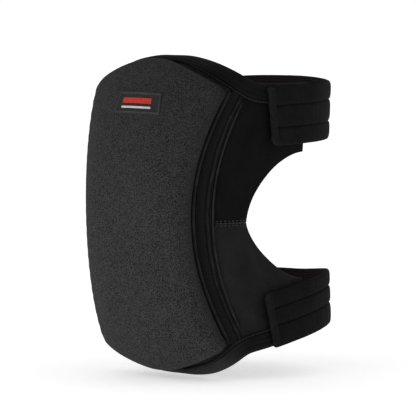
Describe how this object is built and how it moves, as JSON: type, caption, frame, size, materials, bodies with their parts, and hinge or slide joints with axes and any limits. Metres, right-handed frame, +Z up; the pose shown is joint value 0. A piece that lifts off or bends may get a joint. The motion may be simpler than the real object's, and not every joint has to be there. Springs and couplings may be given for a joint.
{
  "type": "knee pad",
  "caption": "Soft strap-on knee pad: crowned padded cushion in woven cover, neoprene side wings with a notch behind the knee, two ribbed elastic straps with hook-and-loop ends.",
  "frame": {"origin": "middle of the bounding box's footprint, on its lowest plane", "axes": "+Z up along the leg towards the thigh, -Y forwards out of the cushion's front, +X to the side on which both straps close"},
  "size_m": [0.1574, 0.1842, 0.2435],
  "materials": {
    "front_cover": "pebbled woven polyester, matte",
    "foam_core": "open-cell foam",
    "comfort_foam": "soft open-cell foam",
    "lining": "brushed knit",
    "neoprene": "smooth knit-faced neoprene",
    "tape": "woven binding tape",
    "piping": "folded tape over cord",
    "thread": "polyester sewing thread",
    "elastic": "knitted elastic, ribbed",
    "loop": "loop pile",
    "hook": "moulded hooks",
    "label": "moulded patch with a raised border, blank"
  },
  "bodies": {
    "pad": {"front_cover": "front_cover", "foam_core": "foam_core", "comfort_foam": "comfort_foam", "inner_lining": "lining", "right_wing_upper": "neoprene", "right_wing_lower": "neoprene", "left_wing_upper": "neoprene", "left_wing_lower": "neoprene", "right_seam_tape": "tape", "left_seam_tape": "tape", "right_front_piping": "piping", "right_rear_piping": "piping", "left_front_piping": "piping", "left_rear_piping": "piping", "right_dart_seam": "thread", "left_dart_seam": "thread", "top_binding": "tape", "bottom_binding": "tape", "label": "label", "upper_loop_patch": "loop", "lower_loop_patch": "loop", "upper_strap_root": "elastic", "lower_strap_root": "elastic"},
    "upper_strap": {"upper_strap": "elastic"},
    "upper_end": {"upper_strap_end": "elastic", "upper_hook_patch": "hook", "upper_end_binding": "tape"},
    "lower_strap": {"lower_strap": "elastic"},
    "lower_end": {"lower_strap_end": "elastic", "lower_hook_patch": "hook", "lower_end_binding": "tape"}
  },
  "joints": [
    {"name": "upper_strap_swing", "type": "hinge", "parent": "pad", "child": "upper_strap", "pos_m": [-0.07609, 0.03418, 0.19822], "axis": [-0.0562, 0.0229, 0.9982], "range_deg": [0, 110]},
    {"name": "upper_end_peel", "type": "hinge", "parent": "upper_strap", "child": "upper_end", "pos_m": [0.06481, 0.0605, 0.19915], "axis": [0.0285, 0.0353, 0.999], "range_deg": [0, 70]},
    {"name": "lower_strap_swing", "type": "hinge", "parent": "pad", "child": "lower_strap", "pos_m": [-0.07532, 0.03386, 0.05309], "axis": [0.0562, -0.0228, 0.9982], "range_deg": [0, 110]},
    {"name": "lower_end_peel", "type": "hinge", "parent": "lower_strap", "child": "lower_end", "pos_m": [0.06428, 0.05984, 0.05703], "axis": [-0.0291, -0.0357, 0.9989], "range_deg": [0, 70]}
  ]
}
